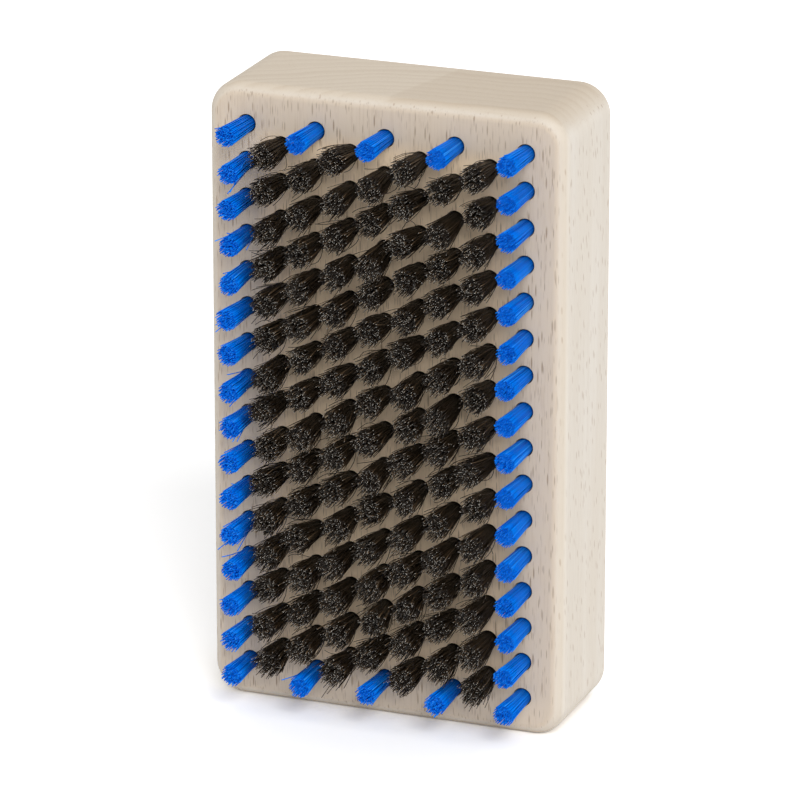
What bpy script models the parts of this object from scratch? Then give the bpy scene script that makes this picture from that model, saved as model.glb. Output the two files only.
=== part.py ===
"""Wooden hand brush: a beech block, a border of nylon tufts and a field of dark horsehair tufts.

The brush stands on one short end. Z runs along the block's length, X across its width and
Y through its thickness. The bristles point along -Y and the flat back faces +Y. The origin
is the centre of the end face that it stands on. Lengths are in metres.
"""

import math

import bmesh
import bpy
from mathutils import Matrix, Vector

MM = 0.001

# Block
BLOCK_LENGTH = 120 * MM
BLOCK_WIDTH = 70 * MM
BLOCK_THICKNESS = 25 * MM
CORNER_RADIUS = 6 * MM  # the four edges that run through the thickness
BACK_EDGE_RADIUS = 1.5 * MM
FACE_EDGE_RADIUS = 2.5 * MM
CORNER_SEGMENTS = 6
EDGE_SEGMENTS = 3

# Pattern of holes: even columns have one tuft more than odd columns, which sit half a pitch lower
COLUMNS = 9
ROWS = 16
END_MARGIN = 7.5 * MM  # from the block's end to the centre of the nearest hole
SIDE_MARGIN = 7.8 * MM  # from the block's side to the centre of the nearest hole

# Holes, drilled blind into the bristle face
HOLE_DIAMETER = 3.6 * MM
HOLE_DEPTH = 8.5 * MM
FIT_GAP = 0.3 * MM  # between a tuft and the wood round it, and between tufts of different pieces
SIDES = 8  # flat sides of a hole and of a tuft

# Tufts: each is a bundle folded in two at the bottom of its hole
NYLON_FREE_LENGTH = 10 * MM
HAIR_FREE_LENGTH = 9.6 * MM
NYLON_FLARE = 0.9 * MM  # how far the tip spreads past the root, on each side
ROOT_TAPER = 0.25 * MM  # how much narrower the fold is than the mouth, on each side
HAIR_TIP_GAP = 1.0 * MM  # between the tips of one hair column and the next
HAIR_WEAVE = 0.15 * MM  # how far a hair tip reaches past halfway, into the next tuft of its run
HAIR_RUNS = 3  # lengths that each hair column is divided into

# Anchors: a flat wire bar in each fold, across the hole, which grips the wood
ANCHOR_THICKNESS = 0.4 * MM
ANCHOR_HEIGHT = 1.8 * MM
ANCHOR_SEAT = 1.0 * MM  # from the fold's end to the bar

ROW_PITCH = (BLOCK_LENGTH - 2 * END_MARGIN) / (ROWS - 1)
COLUMN_PITCH = (BLOCK_WIDTH - 2 * SIDE_MARGIN) / (COLUMNS - 1)
FACE_Y = -BLOCK_THICKNESS / 2
MOUTH_HALF = HOLE_DIAMETER / 2 - FIT_GAP  # half the width of a tuft where it leaves its hole
LAST_COLUMN = COLUMNS - 1
LAST_ROW = ROWS - 1

BEECH = ("beech", (0.78, 0.67, 0.53, 1), 0.6, 0.0)
NYLON = ("blue_nylon", (0.01, 0.13, 0.80, 1), 0.4, 0.0)
HAIR = ("dark_horsehair", (0.018, 0.013, 0.010, 1), 0.5, 0.0)
SMOOTH_BELOW = math.radians(50)  # sharper edges than this keep a crisp line


def clear_scene():
    """Removes every object, so that only the brush is left in the file."""
    for obj in list(bpy.data.objects):
        bpy.data.objects.remove(obj, do_unlink=True)


def new_collection(name):
    collection = bpy.data.collections.new(name)
    bpy.context.scene.collection.children.link(collection)
    return collection


def make_material(name, colour, roughness, metallic):
    material = bpy.data.materials.new(name)
    material.use_nodes = True
    shader = material.node_tree.nodes["Principled BSDF"]
    shader.inputs["Base Color"].default_value = colour
    shader.inputs["Roughness"].default_value = roughness
    shader.inputs["Metallic"].default_value = metallic
    material.diffuse_color = colour
    return material


def new_object(name, mesh, collection, material=None):
    obj = bpy.data.objects.new(name, mesh)
    collection.objects.link(obj)
    if material and not mesh.materials:
        mesh.materials.append(material)
    return obj


def helper_object(name, mesh, collection):
    """An object that only cuts or joins others."""
    obj = new_object(name, mesh, collection)
    obj.hide_render = True
    obj.display_type = "WIRE"
    return obj


def mesh_from(bm, name):
    """The finished mesh of bm, with its faces pointing out and its round sides smooth."""
    bmesh.ops.recalc_face_normals(bm, faces=bm.faces)
    mesh = bpy.data.meshes.new(name)
    bm.to_mesh(mesh)
    bm.free()
    mesh.shade_smooth()
    mesh.set_sharp_from_angle(angle=SMOOTH_BELOW)
    return mesh


def add_boolean(obj, operation, other):
    modifier = obj.modifiers.new(operation.lower(), "BOOLEAN")
    modifier.operation = operation
    modifier.solver = "EXACT"
    modifier.object = other


def joined_mesh(name, meshes, helpers):
    """The Boolean union of meshes, as one mesh."""
    base = helper_object(name + "_base", meshes[0], helpers)
    others = [helper_object(f"{name}_{i}", mesh, helpers) for i, mesh in enumerate(meshes[1:])]
    for other in others:
        add_boolean(base, "UNION", other)
    bpy.context.view_layer.update()
    evaluated = base.evaluated_get(bpy.context.evaluated_depsgraph_get())
    mesh = bpy.data.meshes.new_from_object(evaluated)
    mesh.name = name
    for obj in [base, *others]:
        bpy.data.objects.remove(obj, do_unlink=True)
    return mesh


def row_height(column, row):
    """Height of a tuft: row 0 is at the top, and odd columns sit half a pitch lower."""
    shift = 0.5 if column % 2 else 0.0
    return BLOCK_LENGTH - END_MARGIN - (row + shift) * ROW_PITCH


def rows_in(column):
    return ROWS - 1 if column % 2 else ROWS


def tuft_place(column, row):
    """The centre of a tuft's hole at the bristle face."""
    return Vector(((column - LAST_COLUMN / 2) * COLUMN_PITCH, FACE_Y, row_height(column, row)))


def is_nylon(column, row):
    """The border of the pattern is nylon, and everything inside it is hair."""
    at_side = column in (0, LAST_COLUMN)
    at_end = column % 2 == 0 and row in (0, LAST_ROW)
    return at_side or at_end


def add_prism(bm, start, end, half_start, half_end, place):
    """A straight or tapering prism along -Y, from start to end in front of place."""
    length = end - start
    towards_bristles = Matrix.Rotation(math.pi / 2, 4, "X")
    middle = Matrix.Translation((0, 0, start + length / 2))
    flat_sides_out = Matrix.Rotation(math.pi / SIDES, 4, "Z")
    corner_reach = 1 / math.cos(math.pi / SIDES)
    return bmesh.ops.create_cone(
        bm,
        cap_ends=True,
        segments=SIDES,
        radius1=half_start * corner_reach,
        radius2=half_end * corner_reach,
        depth=length,
        matrix=Matrix.Translation(place) @ towards_bristles @ middle @ flat_sides_out,
    )["verts"]


def block_mesh():
    """The block with rounded corners and edges, before it is drilled."""
    bm = bmesh.new()
    size = Matrix.Diagonal((BLOCK_WIDTH, BLOCK_THICKNESS, BLOCK_LENGTH, 1))
    raise_block = Matrix.Translation((0, 0, BLOCK_LENGTH / 2))
    bmesh.ops.create_cube(bm, size=1, matrix=raise_block @ size)
    through = [e for e in bm.edges if e.verts[0].co.y * e.verts[1].co.y < 0]
    round_edges(bm, through, CORNER_RADIUS, CORNER_SEGMENTS)
    for side, radius in ((1, BACK_EDGE_RADIUS), (-1, FACE_EDGE_RADIUS)):
        rim = [e for e in bm.edges if all(v.co.y * side > 0 for v in e.verts)]
        round_edges(bm, rim, radius, EDGE_SEGMENTS)
    return mesh_from(bm, "block")


def round_edges(bm, edges, radius, segments):
    bmesh.ops.bevel(
        bm,
        geom=edges,
        offset=radius,
        offset_type="OFFSET",
        segments=segments,
        profile=0.5,
        affect="EDGES",
        clamp_overlap=True,
    )


def drill_mesh():
    """One prism for each hole, reaching past the bristle face."""
    bm = bmesh.new()
    half = HOLE_DIAMETER / 2
    for column in range(COLUMNS):
        for row in range(rows_in(column)):
            add_prism(bm, -HOLE_DEPTH, HOLE_DIAMETER, half, half, tuft_place(column, row))
    return mesh_from(bm, "drills")


def make_block(parts, helpers, material):
    block = new_object("beech_block", block_mesh(), parts, material)
    drills = helper_object("hole_drills", drill_mesh(), helpers)
    add_boolean(block, "DIFFERENCE", drills)


def add_tuft(bm, place, free_length, across, up, down):
    """A tuft folded at its root, which spreads by across, up and down from its axis to its flat tip."""
    verts = add_prism(bm, FIT_GAP - HOLE_DEPTH, 0, MOUTH_HALF - ROOT_TAPER, MOUTH_HALF, place)
    mouth_face = min({f for v in verts for f in v.link_faces}, key=lambda f: f.calc_center_median().y)
    grown = bmesh.ops.extrude_face_region(bm, geom=[mouth_face])["geom"]
    tip = [v for v in grown if isinstance(v, bmesh.types.BMVert)]
    bmesh.ops.delete(bm, geom=[mouth_face], context="FACES_ONLY")
    spread = Matrix.Diagonal((across / MOUTH_HALF, 1, (up + down) / 2 / MOUTH_HALF, 1))
    bmesh.ops.transform(bm, matrix=spread, space=Matrix.Translation(-place), verts=tip)
    bmesh.ops.translate(bm, vec=(0, -free_length, (up - down) / 2), verts=tip)


def anchors_mesh(places):
    """The bar across each hole, held in its tuft's fold, with its ends just clear of the wood."""
    bm = bmesh.new()
    size = Matrix.Diagonal((HOLE_DIAMETER - 2 * FIT_GAP, ANCHOR_HEIGHT, ANCHOR_THICKNESS, 1))
    depth = HOLE_DEPTH - FIT_GAP - ANCHOR_SEAT - ANCHOR_HEIGHT / 2
    for place in places:
        into_hole = Matrix.Translation(place + Vector((0, depth, 0)))
        bmesh.ops.create_cube(bm, size=1, matrix=into_hole @ size)
    return mesh_from(bm, "anchors")


def nylon_places():
    """The column and row of each border tuft, by name."""
    places = {}
    for side, column in (("left", 0), ("right", LAST_COLUMN)):
        for row in range(rows_in(column)):
            places[f"nylon_tuft_{side}_{row + 1:02d}"] = (column, row)
    for number, column in enumerate(range(2, LAST_COLUMN, 2), 1):
        places[f"nylon_tuft_top_{number}"] = (column, 0)
        places[f"nylon_tuft_bottom_{number}"] = (column, LAST_ROW)
    return places


def make_nylon_tufts(parts, helpers, material):
    """The border tufts, which are all one mesh in different places."""
    half_tip = MOUTH_HALF + NYLON_FLARE
    bm = bmesh.new()
    add_tuft(bm, Vector(), NYLON_FREE_LENGTH, half_tip, half_tip, half_tip)
    mesh = joined_mesh("nylon_tuft", [mesh_from(bm, "tuft"), anchors_mesh([Vector()])], helpers)
    for name, (column, row) in nylon_places().items():
        new_object(name, mesh, parts, material).location = tuft_place(column, row)


def split_evenly(items, count):
    """Divides items into count runs of nearly the same length, with the longer ones first."""
    base, extra = divmod(len(items), count)
    runs = []
    start = 0
    for number in range(count):
        stop = start + base + (1 if number < extra else 0)
        runs.append(items[start:stop])
        start = stop
    return runs


def hair_run_meshes(places):
    """The tufts of one run, alternately in two meshes, so that no mesh holds two that touch."""
    across = (COLUMN_PITCH - HAIR_TIP_GAP) / 2
    woven = ROW_PITCH / 2 + HAIR_WEAVE
    free = (ROW_PITCH - FIT_GAP) / 2
    alternate = [bmesh.new(), bmesh.new()]
    for number, place in enumerate(places):
        up = woven if number > 0 else free
        down = woven if number < len(places) - 1 else free
        add_tuft(alternate[number % 2], place, HAIR_FREE_LENGTH, across, up, down)
    return [mesh_from(bm, "tufts") for bm in alternate]


def make_hair_tufts(parts, helpers, material):
    """Hair tufts splay into the next ones in their column, so each run of a column is one piece."""
    for column in range(1, LAST_COLUMN):
        rows = [row for row in range(rows_in(column)) if not is_nylon(column, row)]
        for number, run in enumerate(split_evenly(rows, HAIR_RUNS), 1):
            places = [tuft_place(column, row) for row in run]
            name = f"hair_tufts_{column}_{number}"
            mesh = joined_mesh(name, [*hair_run_meshes(places), anchors_mesh(places)], helpers)
            new_object(name, mesh, parts, material)


def main():
    clear_scene()
    parts = new_collection("hand_brush")
    helpers = new_collection("helpers")
    make_block(parts, helpers, make_material(*BEECH))
    make_nylon_tufts(parts, helpers, make_material(*NYLON))
    make_hair_tufts(parts, helpers, make_material(*HAIR))


main()
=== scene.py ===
"""Looks of the wooden hand brush: a beech block with a square burned into its back, blue nylon
tufts round its bristle face and dark hair tufts inside them, on a white studio floor.

The brush stands on one short end, as in the CAD: Z along the block, X across it, and the
bristles along -Y. Lengths are in metres, and the wood's pattern is laid out in millimetres.
"""

import math

import bmesh
import bpy
import numpy as np
from mathutils import Matrix, Vector

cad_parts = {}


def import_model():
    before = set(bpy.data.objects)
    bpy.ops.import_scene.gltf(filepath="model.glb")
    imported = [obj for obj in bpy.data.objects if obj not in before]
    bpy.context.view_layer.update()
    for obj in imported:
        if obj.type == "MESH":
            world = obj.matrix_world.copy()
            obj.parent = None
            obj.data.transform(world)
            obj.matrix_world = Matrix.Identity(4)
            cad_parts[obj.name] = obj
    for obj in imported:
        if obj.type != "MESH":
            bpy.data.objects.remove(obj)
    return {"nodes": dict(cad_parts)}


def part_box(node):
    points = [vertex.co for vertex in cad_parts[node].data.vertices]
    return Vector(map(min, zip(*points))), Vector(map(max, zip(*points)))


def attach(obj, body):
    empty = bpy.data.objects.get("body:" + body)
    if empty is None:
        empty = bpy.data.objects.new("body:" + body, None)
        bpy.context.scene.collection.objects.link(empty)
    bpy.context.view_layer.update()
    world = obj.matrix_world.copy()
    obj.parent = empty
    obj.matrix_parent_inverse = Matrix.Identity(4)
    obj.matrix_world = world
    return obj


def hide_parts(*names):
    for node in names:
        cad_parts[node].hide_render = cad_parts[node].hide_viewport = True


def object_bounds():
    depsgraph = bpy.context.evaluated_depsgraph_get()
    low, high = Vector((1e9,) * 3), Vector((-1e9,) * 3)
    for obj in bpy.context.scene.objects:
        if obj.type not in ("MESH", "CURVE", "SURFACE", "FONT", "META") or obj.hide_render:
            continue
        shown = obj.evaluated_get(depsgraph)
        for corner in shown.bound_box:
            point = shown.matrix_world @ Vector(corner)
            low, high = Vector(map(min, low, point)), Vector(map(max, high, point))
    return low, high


MM = 0.001
TAU = 2 * math.pi
GOLDEN_ANGLE = math.pi * (3 - math.sqrt(5))
SEED = 7

# Camera: the photograph's direction and distance, turned to the middle of the brush
CAMERA_AZIMUTH = math.radians(21.2)  # from straight in front of the bristles, towards +X
CAMERA_ELEVATION = math.radians(18.7)
CAMERA_DISTANCE = 1.133
CAMERA_LENS = 275

# Light: an even sky and a soft sun from the right, the front and above
SKY_STRENGTH = 0.62
SUN_FROM = Vector((0.25, -0.36, 0.31))
SUN_STRENGTH = 1.70
SUN_ANGLE = math.radians(30)
FLOOR_SIZE = 12.0
FLOOR_COLOUR = (0.92, 0.92, 0.92, 1)
FLOOR_SEEN = (1.38, 1.38, 1.38, 1)  # what the camera sees, so that the lit floor is white

# Block, with the corner and edge sizes of the CAD
CORNER_RADIUS = 6 * MM
BACK_EDGE_RADIUS = 1.5 * MM
FACE_EDGE_RADIUS = 2.5 * MM
CORNER_SEGMENTS = 14
EDGE_SEGMENTS = 8
HOLE_DIAMETER = 3.6 * MM
HOLE_SIDES = 28
SMOOTH_BELOW = math.radians(40)

# Pattern of the wood, in millimetres. A strength goes from 0 to 1.
PITH = (22.0, -90.0)  # where the growth rings are centred, in front of the bristle face
RING_WIDTH = 2.7
RING_WANDER = 9.0
FLECK_SLANT = 0.12
BURN_HALF = 24.8  # half the side of the burned square
BURN_BLUR = 0.15
BURN_RIM = 0.5  # width of the slightly darker edge of the square
BURN_RIM_STRENGTH = 0.35
TUFTS_MARGIN = (11.0, 9.0)  # from the block's sides and ends to the painted light on the wood among the tufts
TUFTS_BLUR = 4.0
HOLE_OF_PORE = -1.2  # how deep a pore and the burned square look, next to the fibres
HOLE_OF_BURN = -1.5
FIBRE_HEIGHT = 0.35
BUMP_STRENGTH = 0.45
BUMP_DISTANCE = 0.05 * MM
WOOD_ROUGHNESS = (0.52, 0.66)
BURN_ROUGHNESS = 0.1  # how much rougher the burned square is
WOOD_SPECULAR = 0.3

# Small marks in the wood: a cell's stretch, the mark's size in its cell, and how rare it is
COARSE_PORES = {"stretch": (1.5, 1.5, 0.20), "size": 0.32, "rare": 0.05}
FINE_PORES = {"stretch": (3.0, 3.0, 0.30), "size": 0.36, "rare": 0.10}
FLECKS = {"stretch": (1.25, 1.1, 0.27), "size": 0.30, "rare": 0.35}
COARSE_PORE_STRENGTH = 0.80
FINE_PORE_STRENGTH = 0.65
FLECK_STRENGTH = 0.62

# Colours of the wood
LONG_GRAIN = (0.785, 0.730, 0.655, 1)
LONG_GRAIN_BAND = (0.745, 0.680, 0.595, 1)
LONG_GRAIN_CLOUD = (0.735, 0.655, 0.550, 1)
END_GRAIN = (0.655, 0.562, 0.448, 1)
END_GRAIN_HEART = (0.56, 0.46, 0.35, 1)
# Painted shade: the bristle face is coloured darker than the long sides, standing in for the shade
# it lies in
BRISTLE_FACE_PAINTED_SHADE = (0.655, 0.538, 0.412, 1)
# Painted light: the wood among the hair tufts is coloured lighter and warmer, against the shade the
# tufts cast on it
PAINTED_LIGHT_AMONG_TUFTS = (0.900, 0.695, 0.475, 1)
# Painted shade: the rounded edges are coloured darker, toning down the sun's highlight on them
ROUNDED_EDGE_PAINTED_SHADE = (0.66, 0.575, 0.47, 1)
RING_LINE = (0.47, 0.355, 0.24, 1)
FIBRE_LINE = (0.46, 0.34, 0.235, 1)
PORE = (0.27, 0.18, 0.115, 1)
FLECK = (0.43, 0.31, 0.22, 1)
SCORCH = (0.282, 0.188, 0.126, 1)
SCORCH_BAND = (0.226, 0.145, 0.093, 1)
SCORCH_LINE = (0.182, 0.115, 0.074, 1)
SCORCH_RIM = (0.190, 0.117, 0.078, 1)

# Colours of the filaments: along their length, at the root and at the cut end, with painted shade at
# the root, painted highlight streaks among the nylon and painted glints on some hair ends
NYLON_DEEP = (0.0, 0.155, 0.76, 1)
NYLON_BRIGHT = (0.0, 0.275, 0.97, 1)
# Painted highlight: a few paler filaments stand in for bright streaks of light in the blue tufts
NYLON_PAINTED_HIGHLIGHT = (0.035, 0.34, 0.98, 1)
# Painted shade: filaments darkened towards the root, where the tuft shades itself
NYLON_ROOT_PAINTED_SHADE = (0.0, 0.040, 0.30, 1)
NYLON_END_DEEP = (0.0, 0.03, 0.26, 1)
NYLON_END_BRIGHT = (0.01, 0.22, 0.82, 1)
HAIR_BLACK = (0.005, 0.003, 0.002, 1)
HAIR_BROWN = (0.036, 0.022, 0.011, 1)
HAIR_TAN = (0.16, 0.105, 0.06, 1)
HAIR_PALE = (0.40, 0.33, 0.24, 1)
# Painted shade: hairs darkened towards the root, where the tuft and its hole shade them
HAIR_ROOT_PAINTED_SHADE = (0.003, 0.002, 0.001, 1)
HAIR_END_DARK = (0.008, 0.007, 0.006, 1)
# Painted glint: some cut ends are coloured pale, standing in for light catching the tips
HAIR_END_PAINTED_GLINT = (0.72, 0.70, 0.65, 1)
NYLON_ROUGHNESS = (0.28, 0.42)
HAIR_ROUGHNESS = (0.32, 0.48)
NYLON_SPECULAR = 0.06
HAIR_SPECULAR = 0.25

# Tufts: "root" is a tuft's radius at the bristle face, and "flare" how much wider its tip is.
# Strays are filaments that bend away. "lean" tilts a tuft, and "ragged" shortens filaments.
NYLON = {
    "count": 150, "radius": 0.10 * MM, "sides": 5, "stations": 4,
    "root": 1.55 * MM, "flare": 1.28, "bend": 1.2, "spread": 0.07 * MM, "curl": 0.03 * MM,
    "lean": 0.16 * MM, "ragged": 0.20 * MM, "strays": 0.015, "stray_spread": 0.6 * MM,
}
WORN_NYLON = NYLON | {
    "spread": 0.10 * MM, "ragged": 0.5 * MM, "strays": 0.025, "stray_spread": 1.1 * MM,
}
HAIR = {
    "count": 330, "radius": 0.07 * MM, "sides": 3, "stations": 6,
    "root": 1.6 * MM, "flare": 1.58, "bend": 0.85, "spread": 0.40 * MM, "curl": 0.16 * MM,
    "lean": 0.35 * MM, "ragged": 0.8 * MM, "strays": 0.07, "stray_spread": 0.9 * MM,
}
MOST_WEAR = 1.3  # how much the hairs spread at the bottom of the brush
LEAST_WEAR = 0.7

# Map of the filaments: a column for each shade, the root at the bottom and the cut end at the top
MAP = "OFBake"
SHADES = 32
TIP_BAND = 0.93
COLUMN_MARGIN = 0.1  # share of a column left free on each side
ALONG_MARGIN = 0.02


# Shader nodes


def node(tree, kind, inputs=None, **settings):
    """Adds a shader node. An input is a value or another node's output."""
    made = tree.nodes.new("ShaderNode" + kind)
    for key, value in settings.items():
        setattr(made, key, value)
    for key, value in (inputs or {}).items():
        if isinstance(value, bpy.types.NodeSocket):
            tree.links.new(value, made.inputs[key])
        else:
            made.inputs[key].default_value = value
    return made


def maths(tree, operation, first, second=0.0, third=0.0):
    return node(tree, "Math", {0: first, 1: second, 2: third}, operation=operation).outputs[0]


def product(tree, first, *others):
    for other in others:
        first = maths(tree, "MULTIPLY", first, other)
    return first


def step(tree, value, low, high, to_low=0.0, to_high=1.0):
    """A smooth step from to_low to to_high as value goes from low to high."""
    ends = {"From Min": low, "From Max": high, "To Min": to_low, "To Max": to_high}
    made = node(tree, "MapRange", {"Value": value} | ends, interpolation_type="SMOOTHSTEP")
    return made.outputs["Result"]


def mix(tree, share, first, second):
    """Goes from the first colour to the second as share goes from 0 to 1."""
    return node(tree, "Mix", {0: share, 6: first, 7: second}, data_type="RGBA").outputs[2]


def scaled(tree, vector, factors):
    return node(tree, "VectorMath", {0: vector, 1: factors}, operation="MULTIPLY").outputs[0]


def joined(tree, x, y=0.0, z=0.0):
    return node(tree, "CombineXYZ", {0: x, 1: y, 2: z}).outputs[0]


def noise(tree, vector, detail, roughness=0.5):
    settings = {"Vector": vector, "Scale": 1.0, "Detail": detail, "Roughness": roughness}
    return node(tree, "TexNoise", settings).outputs["Fac"]


def new_material(name):
    material = bpy.data.materials.new(name)
    material.use_nodes = True
    return material, material.node_tree, material.node_tree.nodes["Principled BSDF"]


# Wood


def wood_space(tree):
    """Where a point lies in the block, in millimetres, and what kind of face it is on."""
    coords = node(tree, "TexCoord")
    place = scaled(tree, coords.outputs["Object"], (1 / MM, 1 / MM, 1 / MM))
    x, y, z = node(tree, "SeparateXYZ", {0: place}).outputs
    low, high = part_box("beech_block")
    middle = (low + high) / 2 / MM
    facing_x, facing_y, facing_z = node(tree, "SeparateXYZ", {0: coords.outputs["Normal"]}).outputs
    widest = maths(tree, "ABSOLUTE", facing_x)
    for facing in (facing_y, facing_z):
        widest = maths(tree, "MAXIMUM", widest, maths(tree, "ABSOLUTE", facing))
    return {
        "place": place,
        "x": x,
        "y": y,
        "z": z,
        "off_middle_x": maths(tree, "ABSOLUTE", maths(tree, "SUBTRACT", x, middle.x)),
        "off_middle_z": maths(tree, "ABSOLUTE", maths(tree, "SUBTRACT", z, middle.z)),
        "end": step(tree, maths(tree, "ABSOLUTE", facing_z), 0.55, 0.85),
        "front": step(tree, facing_y, -0.8, -0.99),
        "back": step(tree, facing_y, 0.8, 0.99),
        "rounding": step(tree, widest, 0.97, 0.80),
    }


def by_face(tree, wood, everywhere, **more):
    """A strength that holds everywhere, with more of it on the named kinds of face."""
    for face, amount in more.items():
        everywhere = maths(tree, "MULTIPLY_ADD", wood[face], amount, everywhere)
    return everywhere


def growth_rings(tree, wood):
    """Growth rings round the pith: each darkens slowly outwards and ends in a line."""
    out_x = maths(tree, "SUBTRACT", wood["x"], PITH[0])
    out_y = maths(tree, "SUBTRACT", wood["y"], PITH[1])
    squares = maths(tree, "ADD", maths(tree, "POWER", out_x, 2.0), maths(tree, "POWER", out_y, 2.0))
    wander = noise(tree, scaled(tree, wood["place"], (0.035, 0.035, 0.012)), detail=2.0)
    radius = maths(tree, "MULTIPLY_ADD", wander, RING_WANDER, maths(tree, "SQRT", squares))
    turns = maths(tree, "DIVIDE", radius, RING_WIDTH)
    uneven = noise(tree, joined(tree, maths(tree, "MULTIPLY", turns, 0.6)), detail=1.0)
    phase = maths(tree, "FRACT", maths(tree, "MULTIPLY_ADD", uneven, 1.2, turns))
    line = product(tree, step(tree, phase, 0.2, 0.9), step(tree, phase, 1.0, 0.88))
    return product(tree, line, step(tree, uneven, 0.25, 0.7, 0.35, 1.0))


def marks(tree, place, stretch, size, rare):
    """Separate short marks of random strength: the higher rare is, the fewer of them show."""
    cells = node(tree, "TexVoronoi", {"Vector": scaled(tree, place, stretch), "Scale": 1.0})
    near = step(tree, cells.outputs["Distance"], size, size * 0.45)
    chance = node(tree, "SeparateColor", {0: cells.outputs["Color"]}).outputs[0]
    return product(tree, near, step(tree, chance, rare, 1.0))


def pores(tree, wood):
    """Short dark lines along the grain, clear on the bristle face and faint elsewhere."""
    coarse = product(tree, marks(tree, wood["place"], **COARSE_PORES), COARSE_PORE_STRENGTH)
    fine = product(tree, marks(tree, wood["place"], **FINE_PORES), FINE_PORE_STRENGTH)
    shown = by_face(tree, wood, 0.12, back=0.22, front=0.78)
    return product(tree, maths(tree, "MAXIMUM", coarse, fine), shown)


def flecks(tree, wood):
    """Small slanting ray flecks on the long sides."""
    slanted_y = maths(tree, "MULTIPLY_ADD", wood["z"], FLECK_SLANT, wood["y"])
    slanted = joined(tree, wood["x"], slanted_y, wood["z"])
    elsewhere = maths(tree, "ADD", wood["end"], maths(tree, "ADD", wood["front"], wood["back"]))
    shown = step(tree, elsewhere, 0.0, 1.0, FLECK_STRENGTH, 0.0)
    return product(tree, marks(tree, slanted, **FLECKS), shown)


def painted_light_mask(tree, wood):
    """1 on the wood among the hair tufts, which is painted lighter and warmer: painted light that
    lifts the shade the tufts cast there.
    """
    low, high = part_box("beech_block")
    half = (high - low) / 2 / MM
    edge_x = half.x - TUFTS_MARGIN[0]
    edge_z = half.z - TUFTS_MARGIN[1]
    inside_x = step(tree, wood["off_middle_x"], edge_x + TUFTS_BLUR / 2, edge_x - TUFTS_BLUR / 2)
    inside_z = step(tree, wood["off_middle_z"], edge_z + TUFTS_BLUR / 2, edge_z - TUFTS_BLUR / 2)
    return product(tree, inside_x, inside_z, wood["front"])


def face_colour(tree, wood, bands):
    """The wood's colour on each kind of face, before its fine pattern, with painted shade on the
    bristle face and rounded edges and painted light among the tufts.
    """
    cloud = noise(tree, scaled(tree, wood["place"], (0.03, 0.03, 0.012)), detail=3.0)
    colour = mix(tree, step(tree, bands, 0.3, 0.7), LONG_GRAIN, LONG_GRAIN_BAND)
    colour = mix(tree, step(tree, cloud, 0.35, 0.75, 0.0, 0.6), colour, LONG_GRAIN_CLOUD)
    colour = mix(tree, product(tree, wood["end"], 0.9), colour, END_GRAIN)
    heart_side = maths(tree, "MULTIPLY_ADD", wood["y"], -0.25, wood["x"])
    heart = product(tree, step(tree, heart_side, 2.2, 3.6, 0.0, 0.40), wood["end"])
    colour = mix(tree, heart, colour, END_GRAIN_HEART)
    # painted shade: the bristle face takes a darker colour
    colour = mix(tree, product(tree, wood["front"], 0.85), colour, BRISTLE_FACE_PAINTED_SHADE)
    # painted light among the tufts, against their shade
    colour = mix(tree, product(tree, painted_light_mask(tree, wood), 0.85), colour, PAINTED_LIGHT_AMONG_TUFTS)
    # painted shade on the rounded edges, toning down their highlight
    return mix(tree, product(tree, wood["rounding"], 0.7), colour, ROUNDED_EDGE_PAINTED_SHADE)


def burned_square(tree, wood):
    """How far out a point is in the plain square on the block's back, and 1 inside the square."""
    furthest = maths(tree, "MAXIMUM", wood["off_middle_x"], wood["off_middle_z"])
    inside = step(tree, furthest, BURN_HALF + BURN_BLUR, BURN_HALF - BURN_BLUR)
    on_back = maths(tree, "GREATER_THAN", wood["y"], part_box("beech_block")[1].y / MM - BURN_BLUR)
    return furthest, product(tree, inside, on_back)


def scorch_colour(tree, furthest, bands, fibre):
    """The brown of the burned square, nearly even, with a slightly darker edge."""
    colour = mix(tree, step(tree, bands, 0.35, 0.65), SCORCH, SCORCH_BAND)
    colour = mix(tree, step(tree, fibre, 0.45, 0.75, 0.0, 0.5), colour, SCORCH_LINE)
    rim = step(tree, furthest, BURN_HALF - BURN_RIM, BURN_HALF, 0.0, BURN_RIM_STRENGTH)
    return mix(tree, rim, colour, SCORCH_RIM)


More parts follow.
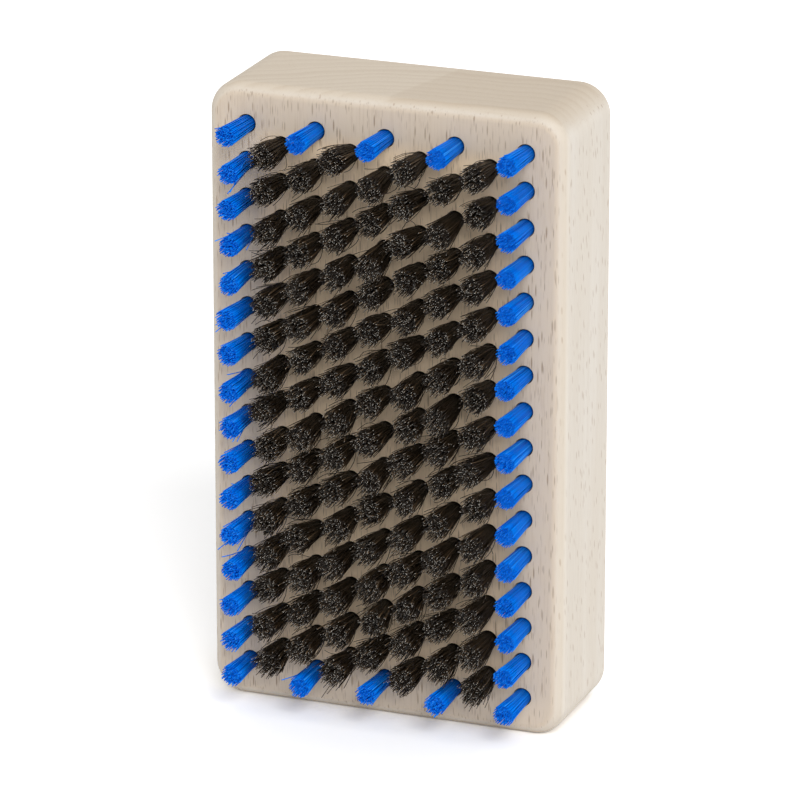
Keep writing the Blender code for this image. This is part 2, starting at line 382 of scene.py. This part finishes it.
def wood_material():
    """Beech: pale, with growth rings, short dark pores along the grain and ray flecks."""
    material, tree, shader = new_material("beech")
    wood = wood_space(tree)
    fibre = noise(tree, scaled(tree, wood["place"], (2.3, 2.3, 0.12)), detail=4.0, roughness=0.65)
    bands = noise(tree, scaled(tree, wood["place"], (0.30, 0.30, 0.010)), detail=3.0)
    pore = pores(tree, wood)
    furthest, burned = burned_square(tree, wood)

    rings_shown = by_face(tree, wood, 0.04, end=0.20, back=0.16)
    rings = product(tree, growth_rings(tree, wood), rings_shown)
    streaks_shown = by_face(tree, wood, 0.06, back=0.08, front=0.26)
    streaks = product(tree, step(tree, fibre, 0.48, 0.75), streaks_shown)
    colour = mix(tree, rings, face_colour(tree, wood, bands), RING_LINE)
    colour = mix(tree, streaks, colour, FIBRE_LINE)
    colour = mix(tree, pore, colour, PORE)
    colour = mix(tree, flecks(tree, wood), colour, FLECK)
    colour = mix(tree, burned, colour, scorch_colour(tree, furthest, bands, fibre))
    tree.links.new(colour, shader.inputs["Base Color"])

    plain_roughness = step(tree, fibre, 0.3, 0.7, *WOOD_ROUGHNESS)
    roughness = maths(tree, "MULTIPLY_ADD", burned, BURN_ROUGHNESS, plain_roughness)
    tree.links.new(roughness, shader.inputs["Roughness"])
    shader.inputs["Specular IOR Level"].default_value = WOOD_SPECULAR

    height = maths(tree, "MULTIPLY_ADD", pore, HOLE_OF_PORE, product(tree, fibre, FIBRE_HEIGHT))
    height = maths(tree, "MULTIPLY_ADD", burned, HOLE_OF_BURN, height)
    settings = {"Height": height, "Strength": BUMP_STRENGTH, "Distance": BUMP_DISTANCE}
    bump = node(tree, "Bump", settings)
    tree.links.new(bump.outputs["Normal"], shader.inputs["Normal"])
    return material


# Filaments


def filament_map(tree):
    """The random value of a filament's shade, and how far along the filament a point is."""
    spot = node(tree, "UVMap", uv_map=MAP).outputs[0]
    u, v, _ = node(tree, "SeparateXYZ", {0: spot}).outputs
    shade = maths(tree, "FLOOR", maths(tree, "MULTIPLY", u, float(SHADES)))
    chance = node(tree, "TexWhiteNoise", {"W": shade}, noise_dimensions="1D").outputs["Value"]
    return chance, v


def nylon_material():
    """Blue filaments of slightly different blues, with painted shade at the root, a few paler ones
    as painted highlight streaks, and darker at the cut end.
    """
    material, tree, shader = new_material("blue_nylon")
    chance, along = filament_map(tree)
    colour = mix(tree, chance, NYLON_DEEP, NYLON_BRIGHT)
    # painted highlight streaks on the palest filaments
    colour = mix(tree, step(tree, chance, 0.85, 0.95), colour, NYLON_PAINTED_HIGHLIGHT)
    # painted shade towards the root
    colour = mix(tree, step(tree, along, 0.2, 0.5, 0.6, 0.0), colour, NYLON_ROOT_PAINTED_SHADE)
    cut_end = mix(tree, chance, NYLON_END_DEEP, NYLON_END_BRIGHT)
    colour = mix(tree, maths(tree, "GREATER_THAN", along, TIP_BAND), colour, cut_end)
    tree.links.new(colour, shader.inputs["Base Color"])
    tree.links.new(step(tree, chance, 0.0, 1.0, *NYLON_ROUGHNESS), shader.inputs["Roughness"])
    shader.inputs["Specular IOR Level"].default_value = NYLON_SPECULAR
    return material


def hair_material():
    """Near-black brown hairs with a few tan and grey ones among them, painted shade towards the
    root, and painted glints on some cut ends.
    """
    material, tree, shader = new_material("dark_horsehair")
    chance, along = filament_map(tree)
    colour = mix(tree, step(tree, chance, 0.0, 0.85), HAIR_BLACK, HAIR_BROWN)
    colour = mix(tree, step(tree, chance, 0.86, 0.92), colour, HAIR_TAN)
    colour = mix(tree, step(tree, chance, 0.965, 0.975), colour, HAIR_PALE)
    # painted shade towards the root
    colour = mix(tree, step(tree, along, 0.25, 0.55, 0.8, 0.0), colour, HAIR_ROOT_PAINTED_SHADE)
    # painted glints on some cut ends
    cut_end = mix(tree, step(tree, chance, 0.6, 0.8), HAIR_END_DARK, HAIR_END_PAINTED_GLINT)
    colour = mix(tree, maths(tree, "GREATER_THAN", along, TIP_BAND), colour, cut_end)
    tree.links.new(colour, shader.inputs["Base Color"])
    tree.links.new(step(tree, chance, 0.0, 1.0, *HAIR_ROUGHNESS), shader.inputs["Roughness"])
    shader.inputs["Specular IOR Level"].default_value = HAIR_SPECULAR
    return material


def even_disc(count, radius, rng):
    """Points spread evenly over a disc, X and Z."""
    steps = np.arange(count)
    reach = radius * np.sqrt((steps + 0.5) / count)
    turn = steps * GOLDEN_ANGLE + rng.uniform(0, TAU)
    return np.stack([reach * np.cos(turn), reach * np.sin(turn)], -1)


def tuft_paths(place, depths, kind, wear, rng):
    """The paths of one tuft's filaments, as filament by station by X, Y, Z.

    place is the tuft's X and Z, and depths are the Y of its tip, the bristle face and its root.
    """
    tip, face, bottom = depths
    count = kind["count"]
    root = even_disc(count, kind["root"], rng)
    spread = rng.normal(0, kind["spread"] * wear, (count, 2))
    stray = rng.random(count) < kind["strays"]
    spread[stray] += rng.normal(0, kind["stray_spread"], (stray.sum(), 2))
    end = root * kind["flare"] + spread + rng.normal(0, kind["lean"], 2)
    curl = rng.normal(0, kind["curl"], (count, 2))
    curl[stray] *= 3
    length = (face - tip) - kind["ragged"] * rng.random(count) ** 2
    shares = np.linspace(0, 1, kind["stations"])
    paths = np.empty((count, 1 + len(shares), 3))
    paths[:, 0] = np.insert(root * 0.75, 1, bottom, axis=1)
    for i, share in enumerate(shares, 1):
        side = root + (end - root) * share ** kind["bend"] + curl * math.sin(math.pi * share)
        paths[:, i] = np.insert(side, 1, face - length * share, axis=1)
    return paths + (place[0], 0, place[1])


def rods_mesh(name, paths, radius, sides):
    """One mesh of thin round rods with flat ends, a rod for each path."""
    count, stations, _ = paths.shape
    turn = np.arange(sides) * TAU / sides
    ring = np.stack([np.cos(turn), np.zeros(sides), np.sin(turn)], -1) * radius
    points = paths[:, :, None, :] + ring
    first = (np.arange(count) * stations * sides)[:, None, None]
    rows = (np.arange(stations - 1) * sides)[None, :, None]
    here = first + rows + np.arange(sides)
    beside = first + rows + (np.arange(sides) + 1) % sides
    walls = np.stack([here, beside, beside + sides, here + sides], -1).reshape(-1, 4)
    roots = first[:, :, 0] + np.arange(sides)[::-1]
    tips = first[:, :, 0] + (stations - 1) * sides + np.arange(sides)
    corners = np.concatenate([walls.ravel(), roots.ravel(), tips.ravel()])
    starts = np.concatenate([np.arange(len(walls)) * 4, walls.size + np.arange(2 * count) * sides])

    mesh = bpy.data.meshes.new(name)
    mesh.vertices.add(points.size // 3)
    mesh.vertices.foreach_set("co", points.ravel())
    mesh.loops.add(len(corners))
    mesh.loops.foreach_set("vertex_index", corners.astype(np.int32))
    mesh.polygons.add(len(starts))
    mesh.polygons.foreach_set("loop_start", starts.astype(np.int32))
    mesh.update(calc_edges=True)
    mesh.polygons.foreach_set("use_smooth", np.arange(len(starts)) < len(walls))
    return mesh


def map_rods(mesh, shades, stations, sides):
    """Lays each rod of rods_mesh along its shade's column of the map. Rods of one shade overlap."""
    used = 1 - 2 * COLUMN_MARGIN
    across = (COLUMN_MARGIN + used * np.arange(sides + 1) / sides) / SHADES
    along = np.linspace(ALONG_MARGIN, TIP_BAND - ALONG_MARGIN, stations)[None, :, None]
    grid = np.stack(np.broadcast_arrays((shades / SHADES)[:, None, None] + across, along), -1)
    corners = (grid[:, :-1, :-1], grid[:, :-1, 1:], grid[:, 1:, 1:], grid[:, 1:, :-1])
    spots = [np.stack(corners, -2).reshape(-1, 2)]
    turn = np.arange(sides) * TAU / sides
    disc = np.stack([np.cos(turn) * 0.35 / SHADES, np.sin(turn) * 0.2 * (1 - TIP_BAND)], -1)
    for height in (0.4 * (1 - TIP_BAND), (1 + TIP_BAND) / 2):
        centres = np.stack([(shades + 0.5) / SHADES, np.full(len(shades), height)], -1)
        spots.append((centres[:, None] + disc).reshape(-1, 2))
    mesh.uv_layers.new(name=MAP).uv.foreach_set("vector", np.concatenate(spots).ravel())


# Pieces


def new_object(name, mesh, material):
    mesh.materials.append(material)
    obj = bpy.data.objects.new(name, mesh)
    bpy.context.scene.collection.objects.link(obj)
    return obj


def add_piece(obj, cad_node):
    """obj stands for this CAD node, on the brush's one body."""
    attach(obj, "root")
    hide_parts(cad_node)


def mesh_from(bm, name):
    bmesh.ops.recalc_face_normals(bm, faces=bm.faces)
    mesh = bpy.data.meshes.new(name)
    bm.to_mesh(mesh)
    bm.free()
    return mesh


def round_edges(bm, edges, radius, segments):
    bmesh.ops.bevel(
        bm,
        geom=edges,
        offset=radius,
        offset_type="OFFSET",
        segments=segments,
        profile=0.5,
        affect="EDGES",
    )


def block_mesh():
    """The block with finely rounded corners and edges, before it is drilled."""
    low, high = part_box("beech_block")
    middle = (low + high) / 2
    bm = bmesh.new()
    size = Matrix.Diagonal((*(high - low), 1))
    bmesh.ops.create_cube(bm, size=1, matrix=Matrix.Translation(middle) @ size)
    through = [e for e in bm.edges if (e.verts[0].co.y > middle.y) != (e.verts[1].co.y > middle.y)]
    round_edges(bm, through, CORNER_RADIUS, CORNER_SEGMENTS)
    for side, radius in ((1, BACK_EDGE_RADIUS), (-1, FACE_EDGE_RADIUS)):
        rim = [e for e in bm.edges if all((v.co.y - middle.y) * side > 0 for v in e.verts)]
        round_edges(bm, rim, radius, EDGE_SEGMENTS)
    return mesh_from(bm, "block")


def drills_mesh(places, face, bottom):
    """One round cutter for each hole, from its bottom to past the bristle face."""
    bm = bmesh.new()
    out = face - HOLE_DIAMETER
    lie_down = Matrix.Rotation(math.pi / 2, 4, "X")
    for x, z in places:
        bmesh.ops.create_cone(
            bm,
            cap_ends=True,
            segments=HOLE_SIDES,
            radius1=HOLE_DIAMETER / 2,
            radius2=HOLE_DIAMETER / 2,
            depth=bottom - out,
            matrix=Matrix.Translation((x, (out + bottom) / 2, z)) @ lie_down,
        )
    return mesh_from(bm, "drills")


def make_block(places, face, bottom):
    block = new_object("block", block_mesh(), wood_material())
    drills = bpy.data.objects.new("drills", drills_mesh(places, face, bottom))
    bpy.context.scene.collection.objects.link(drills)
    holes = block.modifiers.new("holes", "BOOLEAN")
    holes.operation = "DIFFERENCE"
    holes.solver = "EXACT"
    holes.object = drills
    depsgraph = bpy.context.evaluated_depsgraph_get()
    drilled = bpy.data.meshes.new_from_object(block.evaluated_get(depsgraph))
    block.modifiers.clear()
    block.data = drilled
    bpy.data.objects.remove(drills, do_unlink=True)
    drilled.shade_smooth()
    drilled.set_sharp_from_angle(angle=SMOOTH_BELOW)
    flat_faces = block.modifiers.new("flat_faces", "WEIGHTED_NORMAL")
    flat_faces.keep_sharp = True
    add_piece(block, "beech_block")


def tuft_places(cad_node, pitch):
    """The X and Z of each tuft in a CAD node, which is one tuft or a stack of them a pitch apart."""
    low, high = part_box(cad_node)
    count = round((high.z - low.z) / pitch)
    middle = (low + high) / 2
    return [(middle.x, middle.z + pitch * (i - (count - 1) / 2)) for i in range(count)]


def make_tufts(cad_node, places, face, bottom, kind, material, box, rng):
    """One piece for a CAD node's tufts, kept inside the brush's box."""
    depths = (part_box(cad_node)[0].y, face, bottom)
    paths = []
    for place in places:
        wear = MOST_WEAR + (LEAST_WEAR - MOST_WEAR) * place[1] / box[1].z
        paths.append(tuft_paths(place, depths, kind, wear, rng))
    low = np.array(box[0]) + kind["radius"]
    high = np.array(box[1]) - kind["radius"]
    paths = np.clip(np.concatenate(paths), low, high)
    name = cad_node + "_filaments"
    mesh = rods_mesh(name, paths, kind["radius"], kind["sides"])
    map_rods(mesh, rng.integers(0, SHADES, len(paths)), paths.shape[1], kind["sides"])
    add_piece(new_object(name, mesh, material), cad_node)


def make_brush(cad_nodes, box):
    rng = np.random.default_rng(SEED)
    tufts = sorted(set(cad_nodes) - {"beech_block"})
    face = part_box("beech_block")[0].y
    bottom = max(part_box(name)[1].y for name in tufts)
    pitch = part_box("nylon_tuft_left_01")[0].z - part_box("nylon_tuft_left_02")[0].z
    nylon = nylon_material()
    hair = hair_material()
    every_place = []
    for name in tufts:
        places = tuft_places(name, pitch)
        every_place += places
        if name.startswith("hair"):
            make_tufts(name, places, face, bottom, HAIR, hair, box, rng)
        else:
            kind = WORN_NYLON if "left" in name or "bottom" in name else NYLON
            make_tufts(name, places, face, bottom, kind, nylon, box, rng)
    make_block(every_place, face, bottom)


# Studio


def turned_to(away):
    """The turn of a camera or lamp that looks back along away."""
    return away.to_track_quat("Z", "Y").to_matrix().to_4x4()


def make_camera(box):
    flat = math.cos(CAMERA_ELEVATION)
    away = Vector((
        math.sin(CAMERA_AZIMUTH) * flat,
        -math.cos(CAMERA_AZIMUTH) * flat,
        math.sin(CAMERA_ELEVATION),
    ))
    camera = bpy.data.objects.new("camera", bpy.data.cameras.new("camera"))
    camera.data.lens = CAMERA_LENS
    middle = (box[0] + box[1]) / 2
    camera.matrix_world = Matrix.Translation(middle + away * CAMERA_DISTANCE) @ turned_to(away)
    bpy.context.scene.collection.objects.link(camera)
    bpy.context.scene.camera = camera


def make_sun():
    sun = bpy.data.objects.new("sun", bpy.data.lights.new("sun", "SUN"))
    sun.data.angle = SUN_ANGLE
    sun.data.energy = SUN_STRENGTH
    sun.matrix_world = Matrix.Translation(SUN_FROM) @ turned_to(SUN_FROM)
    bpy.context.scene.collection.objects.link(sun)


def seen(tree):
    """1 for what the camera sees, directly or in gloss or glass, and 0 for light."""
    rays = node(tree, "LightPath")
    either = maths(tree, "MAXIMUM", rays.outputs["Is Camera Ray"], rays.outputs["Is Glossy Ray"])
    return maths(tree, "MAXIMUM", either, rays.outputs["Is Transmission Ray"])


def make_sky():
    """An even sky, which the camera sees as white."""
    world = bpy.data.worlds.new("studio")
    world.use_nodes = True
    bpy.context.scene.world = world
    tree = world.node_tree
    background = tree.nodes["Background"]
    background.inputs["Color"].default_value = (1, 1, 1, 1)
    strength = step(tree, seen(tree), 0.0, 1.0, SKY_STRENGTH, 1.0)
    tree.links.new(strength, background.inputs["Strength"])


def floor_material():
    """Matt and pale, and brighter to the camera, which still sees the brush's shadow."""
    material, tree, shader = new_material("studio_floor")
    tree.nodes.remove(shader)
    matt = node(tree, "BsdfDiffuse", {"Color": mix(tree, seen(tree), FLOOR_COLOUR, FLOOR_SEEN)})
    tree.links.new(matt.outputs[0], tree.nodes["Material Output"].inputs["Surface"])
    return material


def make_floor():
    bm = bmesh.new()
    bmesh.ops.create_grid(bm, x_segments=1, y_segments=1, size=FLOOR_SIZE / 2)
    new_object("floor", mesh_from(bm, "floor"), floor_material())


def main():
    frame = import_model()
    cad_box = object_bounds()
    make_camera(cad_box)
    make_brush(frame["nodes"], cad_box)
    make_floor()
    make_sun()
    make_sky()
    bpy.context.scene.view_settings.view_transform = "Standard"


main()
